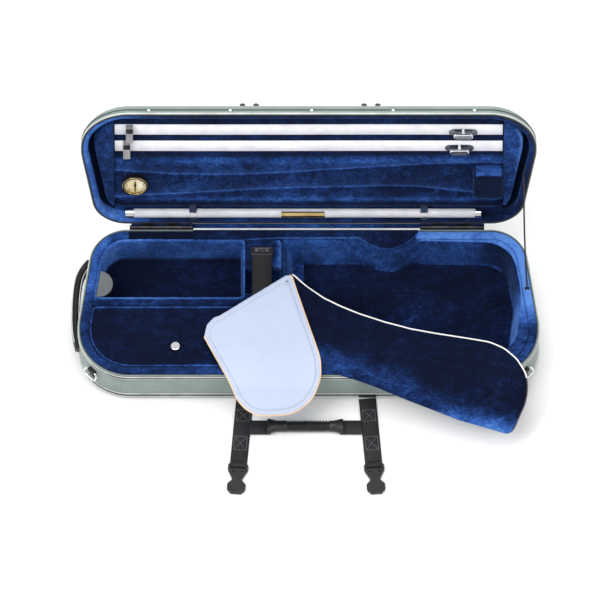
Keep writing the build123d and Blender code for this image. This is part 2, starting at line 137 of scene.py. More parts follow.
def evenly(outline, count):
    """A closed outline as count points at equal distances."""
    closed = np.vstack((outline, outline[:1]))
    length = run(closed)
    at = np.linspace(0, length[-1], count, endpoint=False)
    return np.stack([np.interp(at, length, closed[:, k]) for k in (0, 1)], 1)


def relaxed(outline, count=400, passes=6):
    """A closed outline with its corners rounded off by averaging."""
    points = evenly(outline, count)
    for _ in range(passes):
        points = (np.roll(points, 1, axis=0) + 2 * points + np.roll(points, -1, axis=0)) / 4
    return points


def moved_in(outline, distance):
    """An outline whose points are moved in along its own normals."""
    along = np.roll(outline, -1, axis=0) - np.roll(outline, 1, axis=0)
    along /= norm(along, axis=1)[:, None] + 1e-12
    return outline + np.stack((-along[:, 1], along[:, 0]), 1) * turning(outline) * distance


def relaxed_line(knots, count):
    """An open line through a few knots, evened out and smoothed."""
    distance = run(knots)
    even = np.linspace(0, distance[-1], count)
    line = np.stack([np.interp(even, distance, knots[:, k]) for k in range(knots.shape[1])], 1)
    for _ in range(40):
        line[1:-1] = (line[:-2] + 2 * line[1:-1] + line[2:]) / 4
    return line


def clipped(outline, axis, limit, keep):
    """The part of an outline on one side of a line; keep is 1 above limit, -1 below."""
    result = []
    for p, q in zip(outline, np.roll(outline, -1, axis=0)):
        a, b = (p[axis] - limit) * keep, (q[axis] - limit) * keep
        if a >= 0:
            result.append(p)
        if a * b < 0:
            result.append(p + (q - p) * a / (a - b))
    return np.array(result)


def seen_from(outline, centre, count):
    """The points of an outline in equal steps of angle about a centre."""
    here = outline - np.array(centre, float)
    side = np.roll(here, -1, axis=0) - here
    result = []
    for angle in np.arange(count) * tau / count:
        d = (cos(angle), sin(angle))
        cross = d[0] * side[:, 1] - d[1] * side[:, 0]
        cross[np.abs(cross) < 1e-9] = 1e-9
        t = (here[:, 0] * side[:, 1] - here[:, 1] * side[:, 0]) / cross
        s = (here[:, 0] * d[1] - here[:, 1] * d[0]) / cross
        found = t[(s > -1e-6) & (s < 1 + 1e-6) & (t > 0)]
        result.append(np.array(centre) + np.array(d) * (found.max() if len(found) else 1.0))
    return np.array(result)


CASE = evenly(rounded(CASE_CORNERS, CASE_RADII), 720)


def case_at(inset):
    return moved_in(CASE, inset)


def at_height(outline, z):
    return np.column_stack((outline, np.full(len(outline), float(z))))


def stacked(outline, profile):
    """The outline at each (inset, height) of a profile."""
    return [at_height(moved_in(outline, inset), z) for inset, z in profile]


def hoop(profile):
    """A ring all round the case whose cross-section is a profile of (inset, height)."""
    return lofted(stacked(CASE, profile), ring=True)


# ---- meshes
def quads(a, b, count):
    """The faces between two loops of count vertices, whose first vertices are a and b."""
    return [(a + i, a + (i + 1) % count, b + (i + 1) % count, b + i) for i in range(count)]


def lofted(loops, ring=False, cap_low=1, cap_high=8, crown=0.0):
    """A closed mesh through loops of points. A ring joins its last loop to its first; otherwise the
    ends are capped, in cap_low and cap_high steps towards their middles, and the last is crowned."""
    loops = [np.asarray(l, float) for l in loops]
    count = len(loops[0])
    verts, faces = list(np.vstack(loops)), []
    pairs = [(k, k + 1) for k in range(len(loops) - 1)] + ([(len(loops) - 1, 0)] if ring else [])
    for a, b in pairs:
        faces += quads(a * count, b * count, count)
    if not ring:
        for start, steps, sign in ((0, cap_low, 0.0), ((len(loops) - 1) * count, cap_high, 1.0)):
            edge = np.array(verts[start:start + count])
            middle, last = edge.mean(axis=0), start
            for k in range(1, steps):
                t = (k / steps) ** 0.9
                row = edge + (middle - edge) * t
                row[:, 2] += sign * crown * (1 - (1 - t) ** 2)
                here = len(verts)
                verts += list(row)
                faces += quads(last, here, count)
                last = here
            verts.append(middle + np.array((0, 0, sign * crown)))
            faces += [(last + i, last + (i + 1) % count, len(verts) - 1) for i in range(count)]
    return mesh_of(verts, faces)


def mesh_of(verts, faces):
    mesh = bpy.data.meshes.new("mesh")
    mesh.from_pydata([tuple(v) for v in verts], [], faces)
    work = bmesh.new()
    work.from_mesh(mesh)
    bmesh.ops.recalc_face_normals(work, faces=work.faces)
    work.to_mesh(mesh)
    work.free()
    return mesh


def tube_mesh(points, radius, closed=False, sides=8):
    """A round tube along points, in the points' own units."""
    points = np.asarray(points, float)
    count = len(points)
    if closed:
        along = np.roll(points, -1, axis=0) - np.roll(points, 1, axis=0)
    else:
        along = np.gradient(points, axis=0)
    up = np.array((0.0, 0.0, 1.0))
    verts = []
    for p, d in zip(points, along):
        d = d / (norm(d) + 1e-12)
        side = np.cross(d, up if abs(d[2]) < 0.95 else np.array((1.0, 0, 0)))
        side /= norm(side)
        other = np.cross(side, d)
        verts += [p + radius * (cos(a) * side + sin(a) * other)
                  for a in np.arange(sides) * tau / sides]
    faces = []
    for i in range(count if closed else count - 1):
        faces += quads(i * sides, (i + 1) % count * sides, sides)
    if not closed:
        faces += [tuple(range(sides)), tuple(range((count - 1) * sides, count * sides))]
    return mesh_of(verts, faces)


def joined(meshes):
    """Several meshes as one."""
    work = bmesh.new()
    for mesh in meshes:
        work.from_mesh(mesh)
    result = bpy.data.meshes.new("mesh")
    work.to_mesh(result)
    work.free()
    return result


def placed(name, data):
    """A new object in the scene; its data takes its name."""
    data.name = name
    obj = bpy.data.objects.new(name, data)
    bpy.context.scene.collection.objects.link(obj)
    return obj


def baked(obj):
    """What the object looks like, as a mesh; the object itself goes."""
    bpy.context.view_layer.update()
    graph = bpy.context.evaluated_depsgraph_get()
    mesh = bpy.data.meshes.new_from_object(obj.evaluated_get(graph))
    bpy.data.objects.remove(obj)
    return mesh


def add(name, mesh, material, body, stands_for=None, sharp=50, metres=False):
    """Makes a mesh, or several joined, a piece on its body that stands for its CAD node. Pieces of
    the lid and of its string tube are given as they are in the shut lid."""
    if isinstance(mesh, list):
        mesh = joined(mesh)
    if not metres:
        in_lid = body in ("lid", "string_tube")
        mesh.transform(Matrix.Scale(MM, 4) @ (LID_TURN if in_lid else Matrix.Identity(4)))
    mesh.polygons.foreach_set("use_smooth", [True] * len(mesh.polygons))
    mesh.set_sharp_from_angle(angle=radians(sharp))
    obj = placed(name, mesh)
    mesh.materials.clear()
    mesh.materials.append(material)
    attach(obj, body)
    if stands_for:
        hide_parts(stands_for)
    return obj


def plush(name, mesh, bright, stands_for=None, body="base", sharp=50):
    """A piece in blue velvet, with painted highlights and painted shade from bright in its colour."""
    return tone_and_painted_light(add(name, mesh, VELVET, body, stands_for, sharp), bright)


def ruffled(mesh, amount, size, seed=0.0):
    """Moves vertices along their normals by smooth noise, in the mesh's own units."""
    offset = Vector((seed * 13.7, seed * 7.3, seed * 3.1))
    for v in mesh.vertices:
        p = v.co / size + offset
        v.co += v.normal * amount * (noise.noise(p) + 0.4 * noise.noise(p * 2.3))
    return mesh


def softened(name, voxel, passes):
    """A copy of a CAD solid, in millimetres, remeshed and with its edges worn round."""
    temp = placed("temp", NODES[name].data.copy())
    remesh = temp.modifiers.new("remesh", "REMESH")
    remesh.mode, remesh.voxel_size = "VOXEL", voxel * MM
    relax = temp.modifiers.new("relax", "SMOOTH")
    relax.factor, relax.iterations = 0.5, passes
    result = baked(temp)
    result.transform(Matrix.Scale(1 / MM, 4))
    return result


def tone_and_painted_light(obj, brightness):
    """Paints light and shade into the velvet's colour, from -0.5 to 1, by a function of a point in
    millimetres and its normal: painted highlights and painted shade, with a little of the pile's own tone."""
    layer = obj.data.attributes.new("tone_and_painted_light", "FLOAT", "POINT")
    values = [brightness(v.co / MM, v.normal) for v in obj.data.vertices]
    layer.data.foreach_set("value", values)
    return obj


# ---- materials
def shader(name, **values):
    material = bpy.data.materials.new(name)
    material.use_nodes = True
    tree = material.node_tree
    surface = tree.nodes["Principled BSDF"]
    for key, value in values.items():
        surface.inputs[key.replace("_", " ")].default_value = value
    return material, tree, surface


def node(tree, kind, inputs=None, **settings):
    made = tree.nodes.new("ShaderNode" + kind)
    for key, value in settings.items():
        setattr(made, key, value)
    for key, value in (inputs or {}).items():
        if isinstance(value, bpy.types.NodeSocket):
            tree.links.new(value, made.inputs[key])
        else:
            made.inputs[key].default_value = value
    return made


def place_of(tree):
    return node(tree, "TexCoord").outputs["Object"]


def clouds(tree, scale, detail=3.0, roughness=0.55, distortion=0.0, stretch=(1, 1, 1)):
    here = node(tree, "Mapping", {"Vector": place_of(tree), "Scale": stretch}).outputs[0]
    inputs = {"Vector": here, "Scale": scale, "Detail": detail, "Roughness": roughness,
              "Distortion": distortion}
    return node(tree, "TexNoise", inputs).outputs["Fac"]


def ramp(tree, factor, stops):
    made = node(tree, "ValToRGB", {"Fac": factor})
    while len(made.color_ramp.elements) < len(stops):
        made.color_ramp.elements.new(0.5)
    for element, (at, colour) in zip(made.color_ramp.elements, stops):
        element.position, element.color = at, (*colour, 1)
    return made.outputs["Color"]


def maths(tree, operation, a, b):
    return node(tree, "Math", {0: a, 1: b}, operation=operation).outputs[0]


def weighted(tree, *parts):
    """The sum of (value, weight) parts."""
    total = maths(tree, "MULTIPLY", *parts[0])
    for value, weight in parts[1:]:
        total = maths(tree, "ADD", total, maths(tree, "MULTIPLY", value, weight))
    return total


def bumped(tree, surface, layers):
    """Bump from (height, strength, distance) layers, one on another."""
    normal = None
    for height, strength, distance in layers:
        inputs = {"Height": height, "Strength": strength, "Distance": distance}
        if normal is not None:
            inputs["Normal"] = normal
        normal = node(tree, "Bump", inputs).outputs[0]
    tree.links.new(normal, surface.inputs["Normal"])


def weave(tree, scale):
    """Crossing threads on any face: bands along all three axes, added up."""
    total = None
    for direction in "XYZ":
        inputs = {"Vector": place_of(tree), "Scale": scale, "Distortion": 0.4, "Detail": 1.0}
        made = node(tree, "TexWave", inputs, wave_type="BANDS", bands_direction=direction)
        band = made.outputs["Fac"]
        total = band if total is None else maths(tree, "ADD", total, band)
    return maths(tree, "MULTIPLY", total, 0.34)


def velvet(name, lift=0.0):
    """Crushed pile: dark where it stands, brighter where it lies over, with a fine speckle; each piece's
    painted highlights and painted shade, from its per-vertex attribute, are added to the colour.
    """
    material, tree, surface = shader(
        name, Roughness=0.85, Sheen_Weight=0.32, Sheen_Roughness=0.42, Sheen_Tint=(0.2, 0.4, 1.0, 1),
        Specular_IOR_Level=0.08)
    big = clouds(tree, 9, 2.0, 0.5, 0.3)
    brushed = clouds(tree, 48, 6, 0.78, 0.5, (1, 1.5, 1))
    speckle = clouds(tree, 330, 3, 0.75)
    # painted light and shade of each piece, from its per-vertex attribute, brightens or darkens the colour
    painted = node(tree, "Attribute", attribute_name="tone_and_painted_light").outputs["Fac"]
    total = maths(tree, "ADD", weighted(tree, (big, 0.34), (brushed, 0.56), (speckle, 0.42)), lift - 0.16)
    total = maths(tree, "ADD", total, maths(tree, "MULTIPLY", painted, 0.5))
    colour = ramp(tree, total, [
        (0.37, (0.0010, 0.0028, 0.0135)), (0.49, (0.0026, 0.009, 0.043)), (0.60, (0.0085, 0.031, 0.13)),
        (0.72, (0.025, 0.085, 0.32)), (0.9, (0.085, 0.21, 0.56))])
    tree.links.new(colour, surface.inputs["Base Color"])
    bumped(tree, surface, [(brushed, 0.25, 0.0014), (clouds(tree, 1500, 2), 0.5, 0.0005)])
    return material


def woven(name, dark, light, scale=190.0, roughness=0.62, bump=0.4, sheen=0.1, spread=26.0):
    material, tree, surface = shader(
        name, Roughness=roughness, Sheen_Weight=sheen, Sheen_Roughness=0.5, Specular_IOR_Level=0.3)
    threads = weave(tree, scale)
    shade = weighted(tree, (clouds(tree, spread, 3), 0.6), (threads, 0.4))
    tree.links.new(ramp(tree, shade, [(0.25, dark), (0.75, light)]), surface.inputs["Base Color"])
    bumped(tree, surface, [(threads, bump, 0.0005), (clouds(tree, 600, 2), 0.2, 0.0003)])
    return material


def mottled(tree, surface, spread, dark, light, value, low, high):
    """Clouds of colour from dark to light, and roughness from low to high by value."""
    tree.links.new(ramp(tree, clouds(tree, spread, 3), [(0.3, dark), (0.7, light)]),
                   surface.inputs["Base Color"])
    rough = node(tree, "MapRange", {"Value": value, "To Min": low, "To Max": high})
    tree.links.new(rough.outputs[0], surface.inputs["Roughness"])


def moulded(name, dark, light, roughness=0.4, grain=420.0, bump=0.15, **more):
    material, tree, surface = shader(name, **more)
    mottled(tree, surface, 40, dark, light, clouds(tree, 70, 3), roughness * 0.8, roughness * 1.25)
    bumped(tree, surface, [(clouds(tree, grain, 2), bump, 0.0003)])
    return material


def metal(name, dark, light, roughness=0.16, stretch=(1, 1, 1)):
    material, tree, surface = shader(name, Metallic=1.0)
    wear = clouds(tree, 160, 4, 0.6, 0, stretch)
    mottled(tree, surface, 60, dark, light, wear, roughness * 0.6, roughness * 1.8)
    bumped(tree, surface, [(wear, 0.08, 0.0002)])
    return material


VELVET = velvet("velvet")
BLANKET_VELVET = velvet("blanket_velvet", -0.085)
CANVAS = woven("canvas", (0.145, 0.19, 0.178), (0.24, 0.30, 0.282), roughness=0.46)
DARK_CANVAS = woven("dark_canvas", (0.022, 0.027, 0.028), (0.05, 0.058, 0.06), roughness=0.6)
SILVER = moulded("silver_piping", (0.42, 0.44, 0.43), (0.66, 0.67, 0.66), 0.3, 900, 0.2)
BINDING = woven("dark_binding", (0.012, 0.014, 0.015), (0.035, 0.04, 0.042), 260)
WEBBING = woven("webbing", (0.005, 0.005, 0.006), (0.020, 0.020, 0.023), 150, 0.6, 0.7, 0.04)
NECK_WEBBING = woven("neck_webbing", (0.003, 0.003, 0.004), (0.012, 0.012, 0.014), 170, 0.6, 0.5, 0.04)
RUBBER = moulded("rubber_grip", (0.005, 0.005, 0.006), (0.014, 0.014, 0.016), 0.36)
PLASTIC = moulded("black_plastic", (0.003, 0.003, 0.004), (0.009, 0.009, 0.011), 0.3, Specular_IOR_Level=0.35)
SEAL = moulded("seal", (0.008, 0.008, 0.01), (0.02, 0.02, 0.024), 0.6)
CHROME = metal("chrome", (0.68, 0.69, 0.71), (0.86, 0.86, 0.87), 0.12)
STEEL = metal("steel", (0.42, 0.42, 0.42), (0.62, 0.62, 0.61), 0.26, (1, 14, 14))
BLACK_METAL = metal("hinge_black", (0.03, 0.03, 0.034), (0.07, 0.07, 0.075), 0.34)
BRASS = metal("brass", (0.66, 0.46, 0.16), (0.86, 0.66, 0.3), 0.16)
DIAL = moulded("dial", (0.86, 0.68, 0.32), (1.0, 0.93, 0.7), 0.3, 260, 0.1)
GUARD = moulded("bow_guard", (0.74, 0.73, 0.79), (0.9, 0.89, 0.93), 0.3, 200, 0.08)
RIBBON = woven("ribbon", (0.16, 0.16, 0.175), (0.4, 0.4, 0.42), 420, 0.42)
FELT = woven("grey_felt", (0.085, 0.095, 0.105), (0.17, 0.185, 0.2), 320, 0.8)
SATIN = woven("blanket_satin", (0.395, 0.46, 0.60), (0.475, 0.535, 0.66), 240, 0.5, 0.12, 0.12, 7.0)
WHITE_PIPING = woven("white_piping", (0.78, 0.76, 0.74), (0.95, 0.94, 0.92), 500, 0.6)
TAN_PIPING = woven("tan_piping", (0.62, 0.36, 0.17), (0.9, 0.72, 0.52), 500, 0.6)
DARK_PIPING = woven("dark_piping", (0.05, 0.04, 0.05), (0.16, 0.12, 0.12), 500, 0.7)
THREAD = woven("thread", (0.12, 0.12, 0.13), (0.22, 0.22, 0.24), 700, 0.6)
BRAID = woven("stay_cord", (0.006, 0.006, 0.007), (0.03, 0.03, 0.032), 600, 0.7, 0.8)
# the tube's whitish, half-diffuse colour is partly a painted highlight, standing in for the bright reflection
# along a clear tube
CLEAR = moulded("clear_tube", (0.8, 0.8, 0.86), (0.95, 0.95, 0.98), 0.13, 30, 0.01,
                Transmission_Weight=0.5, IOR=1.32, Alpha=0.9, Specular_IOR_Level=0.9)
GLASS = moulded("glass", (0.9, 0.92, 0.93), (1, 1, 1), 0.04, 60, 0.01,
                Transmission_Weight=1.0, IOR=1.2, Alpha=0.25)

# ---- camera, light and floor
CAMERA_ELEVATION, CAMERA_DISTANCE, CAMERA_LENS = radians(63), 30.0, 1035
LOOK_AT = Vector((-0.0151, 0.0045, 0.088))


def stage():
    """The camera, soft lamps and a white floor."""
    scene = bpy.context.scene
    back = Vector((0, -cos(CAMERA_ELEVATION), sin(CAMERA_ELEVATION)))
    camera = placed("camera", bpy.data.cameras.new("camera"))
    camera.data.lens, camera.data.clip_end = CAMERA_LENS, 90
    camera.location = LOOK_AT + back * CAMERA_DISTANCE
    camera.rotation_euler = (-back).to_track_quat("-Z", "Y").to_euler()
    scene.camera = camera
    for name, place, size, power in (
            ("key", (-1.5, -0.7, 2.6), 1.6, 46), ("fill", (1.8, -1.4, 1.9), 1.6, 20),
            ("back", (0.4, 2.2, 1.5), 1.8, 26), ("top", (0.0, 0.3, 3.2), 1.4, 22)):
        lamp = placed(name, bpy.data.lights.new(name, "AREA"))
        lamp.data.size, lamp.data.energy = size, power
        lamp.location = place
        lamp.rotation_euler = (Vector(place) - Vector((0, 0, 0.1))).to_track_quat("Z", "Y").to_euler()
    world = bpy.data.worlds.new("studio")
    world.use_nodes = True
    background = world.node_tree.nodes["Background"]
    background.inputs["Color"].default_value = (1, 1, 1, 1)
    background.inputs["Strength"].default_value = 0.72
    scene.world = world
    scene.view_settings.view_transform = "Standard"
    floor = bpy.data.meshes.new("floor")
    floor.from_pydata([(-9, -9, 0), (9, -9, 0), (9, 9, 0), (-9, 9, 0)], [], [(0, 1, 2, 3)])
    paper = shader("floor", Base_Color=(0.92, 0.92, 0.92, 1), Roughness=0.9, Specular_IOR_Level=0.1)[0]
    floor.materials.append(paper)
    placed("floor", floor)


# ---- the cord that stops the lid
STAY_ROUTE = [(0.374, 0.191, 0.2156), (0.3735, 0.1, 0.143), (0.380, 0.0295, 0.0909)]
STAY_DIAMETER = 0.003


def stay_cord():
    curve = bpy.data.curves.new("stay_line", "CURVE")
    curve.dimensions, curve.resolution_u = "3D", 24
    spline = curve.splines.new("NURBS")
    spline.points.add(len(STAY_ROUTE) - 1)
    for point, place in zip(spline.points, STAY_ROUTE):
        point.co = (*place, 1)
    spline.order_u, spline.use_endpoint_u = 3, True
    line = placed("stay_line", curve)
    path = [v.co.copy() for v in baked(line).vertices]
    mesh = tube_mesh(path, STAY_DIAMETER / 2, sides=10)
    cord = add("lid_stay_cord_braid", mesh, BRAID, "base", "lid_stay_cord", metres=True)
    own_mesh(cord)


# ---- base
def base():
    wall = [(0.4, 17), (0, 17.8), (-0.6, 30), (-0.9, 46), (-0.6, 62), (0, 74.6), (0.6, 75.2), (0.6, 84),
            (8, 84), (8, 14.2), (9, 14), (9, 2.2), (4, 2.2), (1.6, 9), (1.5, 17)]
    add("base_wall", hoop(wall), CANVAS, "base", "base_shell")
    cover = [(30, 1.6), (30, 0), (8, 0), (3.8, 1.1), (1.1, 3.8), (0.1, 8), (-0.2, 16.8), (0.9, 17.2),
             (1.4, 16.6), (1.5, 8), (8, 1.6)]
    parts = [hoop(cover), lofted(stacked(CASE, [(29, 0.4), (29, 1.5)]), cap_high=1)]
    add("base_bottom", parts, DARK_CANVAS, "base", "base_bottom_cover")
    pipes = [tube_mesh(at_height(case_at(inset), z), radius, closed=True) for inset, z, radius in (
        (-0.6, 81.6, 1.25), (-0.5, 73.9, 0.9), (-0.5, 18.4, 1.1), (-0.3, 8.6, 1.0))]
    add("base_pipings", pipes, SILVER, "base", "base_piping")
    band = [(0.3, 75), (-0.9, 75.3), (-1.3, 77.3), (-0.9, 79.6), (0.3, 80)]
    add("base_band", hoop(band), BINDING, "base", "base_binding")
    edge = [(0.2, 84), (-0.3, 85.2), (-0.1, 86.4), (0.5, 87), (1.3, 87), (1.8, 86.3), (1.8, 84.0)]
    add("base_rim_edge", hoop(edge), CANVAS, "base")
    groove = [(1.8, 84.0), (1.8, 86.3), (3.2, 86.3), (3.2, 84.0)]
    add("base_rim_groove", hoop(groove), BINDING, "base")
    rim = [(3.2, 84.2), (3.2, 86.2), (4.2, 87.2), (6.5, 87.9), (9.5, 88.15), (13.5, 87.7), (15.8, 86.7),
           (17.1, 85), (17.4, 82), (17.1, 60), (17, 14.5), (8.4, 14.5), (8.4, 84.2)]
    mesh = ruffled(hoop(rim), 0.35, 22, 1)

    # painted light on the rim velvet: painted highlights on the front right stretch and the left end, painted
    # shade along the back, deepest on its left stretch, over a little random tone
    def bright(p, n):
        if p.z < 80:
            return 0.05
        if p.y > 110 and -313 < p.x < -200:
            return -0.5
        value = 0.1 + 0.1 * noise.noise(p / 45)
        value += 0.62 * step(p.x, 184, 190) * step(p.y, -70, 10)
        value += 0.3 * step(-p.x, 330, 360) * step(p.y, 0, 50)
        return value - 0.25 * step(p.x, -205, -195) * step(-p.x, -187, -184) * step(p.y, 100, 110)
    plush("base_rim_velvet", mesh, bright, "base_rim_liner")


def basin(outer, inner, centre, top, floor, sides, count=480, crown=0.0, rings=10):
    """A padded block with a hollow. inner(d) is the hollow's outline moved in by d; its sides lean
    in by sides on the way down from top to floor."""
    level = lambda outline, z: at_height(seen_from(outline, centre, count), z)
    lip = top - 2.6
    loops = [level(outer, LINING_Z), level(outer, top - 2), level(moved_in(outer, 1.2), top),
             level(inner(-3.5), top + 0.3), level(inner(-1.2), top - 0.5), level(inner(0), lip)]
    depth = lip - floor
    for k in range(1, 7):
        t = k / 6
        loops.append(level(inner(sides * t ** 0.8), lip - depth * t + (1.2 if k == 6 else 0)))
    loops.append(level(inner(sides + 2.2), floor + 0.1))
    return lofted(loops, cap_high=rings, crown=crown)


def left_part(inset, right, front=None, back=None):
    """The case's outline, moved in, left of a line and behind or in front of another."""
    outline = clipped(case_at(inset), 0, right, -1)
    return clipped(outline, 1, front, 1) if front is not None else clipped(outline, 1, back, -1)


def compartments():
    room = relaxed(left_part(21, -114.6, front=13.1), 420, 14)
    outer = relaxed(left_part(LINING_INSET, -111.4, front=10.1), 420, 4)
    mesh = basin(outer, lambda d: moved_in(room, d), (-235, 62), 84.2, TRAY_FLOOR_Z, 3.5)

    # painted light on the rear tray: painted highlights on its top edge and towards its back and left end,
    # painted shade on its floor
    def rear_bright(p, n):
        if p.z < 23:
            return -0.24
        return 0.5 if p.z > 82 else 0.1 + 0.24 * step(p.y, 60, 90) + 0.25 * step(-p.x, 320, 345)
    plush("rear_tray_velvet", ruffled(mesh, 0.4, 26, 2), rear_bright, "rear_tray")
    front_room = relaxed(left_part(21, -130.4, back=-7.4), 420, 14)
    outer = relaxed(left_part(LINING_INSET, -111.4, back=-4.4), 420, 4)
    mesh = basin(outer, lambda d: moved_in(front_room, d), (-245, -66), 77.4, TRAY_FLOOR_Z, 3.5)
    add("front_tray_velvet", mesh, VELVET, "base", "front_tray")
    panel = relaxed(left_part(18, -126.6, back=-5.6), 460, 26)
    profile = [(1.0, 78), (0.2, 78.5), (0, 80), (0, 83.2), (0.5, 84.6), (1.8, 85.5), (3.6, 85.7), (5.2, 85.2),
               (7, 84.9)]
    mesh = ruffled(lofted(stacked(panel, profile), cap_high=10, crown=0.5), 0.3, 34, 3)
    edge_line = np.array(moved_in(panel, 2.6))

    # painted highlight along the compartment lid's rounded edge
    def lid_bright(p, n):
        away = np.min(np.hypot(edge_line[:, 0] - p.x, edge_line[:, 1] - p.y))
        return 0.62 * peak(away, 1.7) - 0.22
    plush("compartment_lid_velvet", mesh, lid_bright, "compartment_lid", "compartment_lid")
    bar = evenly(np.array([(-377.5, -3.9), (-111.6, -3.9), (-111.6, 9.6), (-374, 9.6)], float), 400)
    profile = [(0.4, 14.6), (0, 15), (0, 83), (0.6, 85.4), (2.2, 87), (4.4, 87.6)]
    mesh = ruffled(lofted(stacked(bar, profile), cap_high=3), 0.25, 20, 4)
    # the divider's colour carries a painted highlight on the back of its top
    plush("divider_velvet", mesh, lambda p, n: 0.02 + 0.5 * step(p.y, 4.5, 8), "divider")
    dressed("end_tab", FELT, 0.8)


def cradle():
    mesh = ruffled(softened("neck_cradle", 2.4, 8), 0.4, 26, 5)
    # painted highlights on the cradle faces turned to +x above 40 mm and on faces turned to the front
    bright = lambda p, n: 0.75 * max(0, n.x) * (p.z > 40) + 0.15 * (n.y < -0.5)
    plush("neck_cradle_velvet", mesh, bright, "neck_cradle", sharp=180)
    strap = softened_strip([(-81.5, y, 87.7 + 0.5 * sin(y / 21)) for y in range(-9, 94, 3)], 34, 1.7)
    add("neck_strap_webbing", strap, NECK_WEBBING, "neck_strap", "neck_strap")
    corners = [(-100.8, 93.7), (-62.2, 93.7), (-62.2, 109.3), (-100.8, 109.3)]
    profile = [(0.2, 86.1), (0, 86.5), (0, 87.2), (0.5, 87.5), (1.6, 87.55), (1.9, 87.2)]
    loops = [at_height(evenly(moved_in(rounded(corners, [2] * 4), i), 96), z) for i, z in profile]
    add("cradle_black_plate", lofted(loops, cap_high=2), BLACK_METAL, "base", "cradle_plate")


def pocket_at(inset):
    """The violin pocket's outline, moved in."""
    radii = [max(6, r - inset) if i in POCKET_TIGHTER else r for i, r in enumerate(POCKET_RADII)]
    return rounded(inset_corners(POCKET, inset), radii)


def pocket():
    block = relaxed(clipped(case_at(LINING_INSET), 0, -45.4, 1), 600, 3)
    mesh = basin(block, pocket_at, (168, 24), 85.6, POCKET_FLOOR_Z, 13.0, 720, crown=0.6, rings=16)

    # painted light on the pocket: painted shade on its floor and in its back right corner, painted highlights
    # along the foot of its walls, on its front right rim and on its right end wall
    def bright(p, n):
        if p.z < 25.3:
            return -0.2
        if p.z < 27.5:
            return 0.22
        if p.z > 83.5:
            return 0.1 + 0.5 * step(p.x, 184, 200) * step(p.y, -60, 0)
        corner = step(p.x, 285, 335) * step(p.y, 10, 60)
        return 0.2 - 0.36 * corner + 0.34 * step(p.x, 320, 345) * step(-p.y, -30, 20)
    plush("pocket_velvet", ruffled(mesh, 0.6, 34, 6), bright, "pocket_block")
    pad = evenly(rounded([(-36.8, -39.5), (-8.2, -39.5), (-8.2, 107.5), (-36.8, 107.5)], [7] * 4), 300)
    profile = [(0.6, 24), (0, 25), (0, 31), (0.8, 35), (2.6, 37.4), (5.4, 38.4)]
    mesh = ruffled(lofted(stacked(pad, profile), cap_high=4, crown=0.4), 0.3, 20, 7)
    # painted highlight on the bout pad's faces turned to -x
    bright = lambda p, n: 0.3 * max(0, -n.x) + 0.12
    plush("bout_pad_velvet", mesh, bright, "bout_pad")


def dressed(name, material, width):
    """Gives a CAD piece its material, and wears its hard edges round where width isn't 0."""
    obj = NODES[name]
    obj.data.materials.clear()
    obj.data.materials.append(material)
    if width:
        bevel = obj.modifiers.new("edges", "BEVEL")
        bevel.width, bevel.segments = width * MM, 3
        bevel.limit_method, bevel.angle_limit = "ANGLE", radians(40)
        bevel.use_clamp_overlap = True
        obj.data.polygons.foreach_set("use_smooth", [True] * len(obj.data.polygons))


def softened_strip(path, width, thick, lean=(1.0, 0.0, 0.0)):
    """A flat strap with rounded edges along a path; lean is the direction across it."""
    path = [Vector(p) for p in path]
    across = Vector(lean).normalized()
    half, t = width / 2, thick / 2
    shape = [(-half, -t * 0.4), (-half, t * 0.4), (-half + t * 0.7, t), (half - t * 0.7, t), (half, t * 0.4),
             (half, -t * 0.4), (half - t * 0.7, -t), (-half + t * 0.7, -t)]
    loops = []
    for k, p in enumerate(path):
        along = (path[min(k + 1, len(path) - 1)] - path[max(k - 1, 0)]).normalized()
        up = across.cross(along).normalized()
        loops.append([tuple(p + across * a + up * b) for a, b in shape])
    verts = [v for loop in loops for v in loop]
    n = len(shape)
    faces = [tuple(range(n)), tuple(range(len(verts) - n, len(verts)))]
    for k in range(len(loops) - 1):
        faces += quads(k * n, (k + 1) * n, n)
    return mesh_of(verts, faces)


def hardware():
    """CAD pieces whose shape is right: each gets its own material, and worn edges."""
    for material, width, names in (
            (CHROME, 0.4, "cradle_rivets lid_studs bow_catch_plates bow_catch_upper bow_catch_lower"),
            (CHROME, 0.5, "lid_knob"), (CHROME, 0.6, "tube_plug tube_cap"),
            (CHROME, 0.0, "d_ring_left d_ring_right"), (CLEAR, 0.0, "string_tube"),
            (BLACK_METAL, 0.3, "hinge_base_leaves hinge_lid_leaves"), (STEEL, 0.2, "hinge_pins"),
            (STEEL, 0.3, "tube_clips"), (SILVER, 0.6, "hinge_strip"), (SILVER, 0.4, "lid_piping"),
            (PLASTIC, 0.1, "stay_anchor_base"), (PLASTIC, 0.15, "hygrometer_needle"),
            (PLASTIC, 0.3, "hygrometer_case"), (PLASTIC, 0.9, "buckle_plug_left buckle_plug_right"),
            (SEAL, 0.2, "lid_seal"), (BRASS, 0.3, "hygrometer_bezel"), (DIAL, 0.2, "hygrometer_dial"),
            (GLASS, 0.2, "hygrometer_glass"), (WEBBING, 0.5, "d_ring_tabs"), (WEBBING, 0.4, "strap_roots"),
            (RIBBON, 0.4, "bow_tip_loops")):
        for name in names.split():
            dressed(name, material, width)


def gusset(name, profile, material, brightness):
    """Cloth that joins the backs of the two rims, behind the hinges, in one fixed shape."""
    loops = []
    back = [(y + 0.5, z - 0.25) for y, z in reversed(profile)]
    for x in np.linspace(-309, 306, 206):
        wave = 0.15 * noise.noise(Vector((x / 16, 0, 4)))
        loops.append(np.array([(x, y + wave, z) for y, z in profile + back]))
    mesh = lofted(loops, cap_high=1)
    mesh.transform(Matrix.Scale(MM, 4))
    mesh.polygons.foreach_set("use_smooth", [True] * len(mesh.polygons))
    mesh.materials.append(material)
    cloth = placed(name, mesh)
    tone_and_painted_light(cloth, lambda p, n: brightness)
    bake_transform(cloth)


